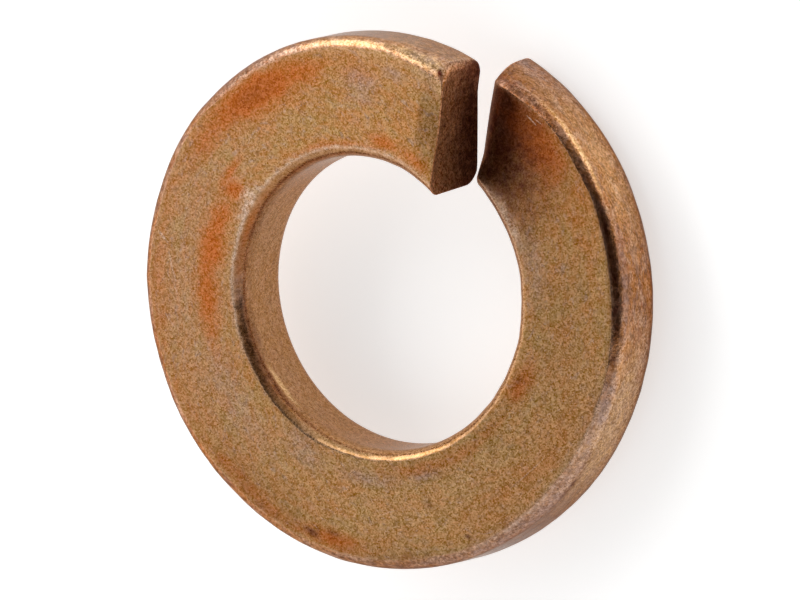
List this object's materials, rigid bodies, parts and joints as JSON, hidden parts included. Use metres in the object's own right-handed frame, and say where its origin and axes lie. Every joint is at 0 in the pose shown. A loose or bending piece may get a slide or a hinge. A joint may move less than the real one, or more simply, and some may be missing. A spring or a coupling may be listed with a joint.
{
  "type": "spring lock washer",
  "caption": "Helical spring lock washer: one coil of keystone-section wire with rounded corners, sheared on a skew so its two sharp ends spring apart under a nut or bolt head.",
  "frame": {"origin": "on the bore's axis, at the height of the surface that the washer lies on", "axes": "+Z along the bore's axis, up from the seated end to the raised end; +Y towards the side of the washer that holds the cut"},
  "size_m": [0.0146, 0.0146, 0.0044],
  "materials": {
    "bronze": "satin"
  },
  "bodies": {
    "root": {"spring_washer": "bronze"}
  },
  "joints": []
}
